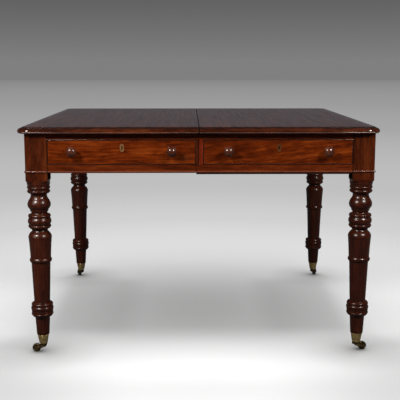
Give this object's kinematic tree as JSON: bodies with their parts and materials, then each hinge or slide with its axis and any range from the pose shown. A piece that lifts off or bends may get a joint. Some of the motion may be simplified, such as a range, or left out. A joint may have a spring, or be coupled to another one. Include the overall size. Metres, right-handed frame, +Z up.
{
  "type": "writing table",
  "caption": "Draw-apart writing table with a moulded top, frieze drawers, turned legs and brass castors; its halves part along a centre seam on hidden slide bars.",
  "frame": {"origin": "centre of the footprint on the floor; the seam of the top is at X = 0", "axes": "+X to the right, the way the right half draws out; +Y to the back, away from the drawers; +Z up"},
  "size_m": [1.165, 1.11, 0.755],
  "materials": {
    "mahogany_top": "French polished, worn to a soft gloss",
    "mahogany_turned": "French polished, dark red-brown",
    "mahogany_frame": "French polished",
    "mahogany_drawer": "French polished, figured",
    "ebonised_wood": "dull black stain",
    "drawer_lining": "planed and left bare",
    "inner_wood": "sawn and planed, left bare",
    "slide_wood": "planed and waxed",
    "peg_wood": "turned and left bare",
    "brass_cup": "aged, dull",
    "brass_castor": "aged, darkened",
    "brass_plate": "aged, rubbed",
    "brass_lock": "aged, dull"
  },
  "bodies": {
    "left_half": {"top_left": "mahogany_top", "leaf_pegs": "peg_wood", "leg_front_left": "mahogany_turned", "leg_rear_left": "mahogany_turned", "front_rail_upper_left": "mahogany_frame", "front_rail_lower_left": "mahogany_frame", "end_rail_left": "mahogany_frame", "rear_rail_left": "mahogany_frame", "mid_rail_left": "inner_wood", "centre_stile_left": "mahogany_frame", "centre_guide_left": "inner_wood", "drawer_runners_left": "inner_wood", "drawer_kickers_left": "inner_wood", "slide_bearers_left": "inner_wood", "glue_blocks_left": "inner_wood", "castor_cups_left": "brass_cup"},
    "right_half": {"top_right": "mahogany_top", "leg_front_right": "mahogany_turned", "leg_rear_right": "mahogany_turned", "front_rail_upper_right": "mahogany_frame", "front_rail_lower_right": "mahogany_frame", "end_rail_right": "mahogany_frame", "rear_rail_right": "mahogany_frame", "mid_rail_right": "inner_wood", "centre_stile_right": "mahogany_frame", "centre_guide_right": "inner_wood", "drawer_runners_right": "inner_wood", "drawer_kickers_right": "inner_wood", "slide_bearers_right": "inner_wood", "glue_blocks_right": "inner_wood", "castor_cups_right": "brass_cup", "lap_strips": "ebonised_wood"},
    "slide_bar_front": {"slide_bar_front": "slide_wood"},
    "slide_bar_rear": {"slide_bar_rear": "slide_wood"},
    "drawer_left": {"drawer_front_left": "mahogany_drawer", "cock_beads_left": "mahogany_drawer", "drawer_sides_left": "drawer_lining", "drawer_back_left": "drawer_lining", "drawer_bottom_left": "drawer_lining", "knobs_left": "mahogany_turned", "escutcheon_left": "brass_plate", "lock_case_left": "brass_lock"},
    "drawer_right": {"drawer_front_right": "mahogany_drawer", "cock_beads_right": "mahogany_drawer", "drawer_sides_right": "drawer_lining", "drawer_back_right": "drawer_lining", "drawer_bottom_right": "drawer_lining", "knobs_right": "mahogany_turned", "escutcheon_right": "brass_plate", "lock_case_right": "brass_lock"},
    "lock_bolt_left": {"lock_bolt_left": "brass_lock"},
    "lock_bolt_right": {"lock_bolt_right": "brass_lock"},
    "castor_front_left": {"castor_horn_front_left": "brass_castor"},
    "castor_wheel_front_left": {"castor_wheel_front_left": "brass_castor"},
    "castor_front_right": {"castor_horn_front_right": "brass_castor"},
    "castor_wheel_front_right": {"castor_wheel_front_right": "brass_castor"},
    "castor_rear_left": {"castor_horn_rear_left": "brass_castor"},
    "castor_wheel_rear_left": {"castor_wheel_rear_left": "brass_castor"},
    "castor_rear_right": {"castor_horn_rear_right": "brass_castor"},
    "castor_wheel_rear_right": {"castor_wheel_rear_right": "brass_castor"}
  },
  "joints": [
    {"name": "right_half_draw", "type": "slide", "parent": "left_half", "child": "right_half", "axis": [1, 0, 0], "range_m": [0, 0.457]},
    {"name": "slide_bar_front_draw", "type": "slide", "parent": "left_half", "child": "slide_bar_front", "axis": [1, 0, 0], "range_m": [0, 0.2285]},
    {"name": "slide_bar_rear_draw", "type": "slide", "parent": "left_half", "child": "slide_bar_rear", "axis": [1, 0, 0], "range_m": [0, 0.2285]},
    {"name": "drawer_left_pull", "type": "slide", "parent": "left_half", "child": "drawer_left", "axis": [0, -1, 0], "range_m": [0, 0.36]},
    {"name": "drawer_right_pull", "type": "slide", "parent": "right_half", "child": "drawer_right", "axis": [0, -1, 0], "range_m": [0, 0.36]},
    {"name": "lock_bolt_left_throw", "type": "slide", "parent": "drawer_left", "child": "lock_bolt_left", "axis": [0, 0, 1], "range_m": [0, 0.007]},
    {"name": "lock_bolt_right_throw", "type": "slide", "parent": "drawer_right", "child": "lock_bolt_right", "axis": [0, 0, 1], "range_m": [0, 0.007]},
    {"name": "castor_front_left_swivel", "type": "hinge", "parent": "left_half", "child": "castor_front_left", "pos_m": [-0.522, -0.49, 0.03], "axis": [0, 0, 1], "continuous": true},
    {"name": "wheel_front_left_spin", "type": "hinge", "parent": "castor_front_left", "child": "castor_wheel_front_left", "pos_m": [-0.545, -0.49, 0.014], "axis": [0, -1, 0], "continuous": true},
    {"name": "castor_front_right_swivel", "type": "hinge", "parent": "right_half", "child": "castor_front_right", "pos_m": [0.53, -0.49, 0.03], "axis": [0, 0, 1], "continuous": true},
    {"name": "wheel_front_right_spin", "type": "hinge", "parent": "castor_front_right", "child": "castor_wheel_front_right", "pos_m": [0.55187, -0.48289, 0.014], "axis": [-0.309, 0.9511, 0], "continuous": true},
    {"name": "castor_rear_left_swivel", "type": "hinge", "parent": "left_half", "child": "castor_rear_left", "pos_m": [-0.522, 0.5, 0.03], "axis": [0, 0, 1], "continuous": true},
    {"name": "wheel_rear_left_spin", "type": "hinge", "parent": "castor_rear_left", "child": "castor_wheel_rear_left", "pos_m": [-0.5328, 0.52031, 0.014], "axis": [-0.8829, -0.4695, 0], "continuous": true},
    {"name": "castor_rear_right_swivel", "type": "hinge", "parent": "right_half", "child": "castor_rear_right", "pos_m": [0.53, 0.5, 0.03], "axis": [0, 0, 1], "continuous": true},
    {"name": "wheel_rear_right_spin", "type": "hinge", "parent": "castor_rear_right", "child": "castor_wheel_rear_right", "pos_m": [0.54008, 0.52067, 0.014], "axis": [-0.8988, 0.4384, 0], "continuous": true}
  ],
  "couplings": [
    {"joint": "slide_bar_front_draw", "follows": "right_half_draw", "ratio": 0.5},
    {"joint": "slide_bar_rear_draw", "follows": "right_half_draw", "ratio": 0.5}
  ]
}
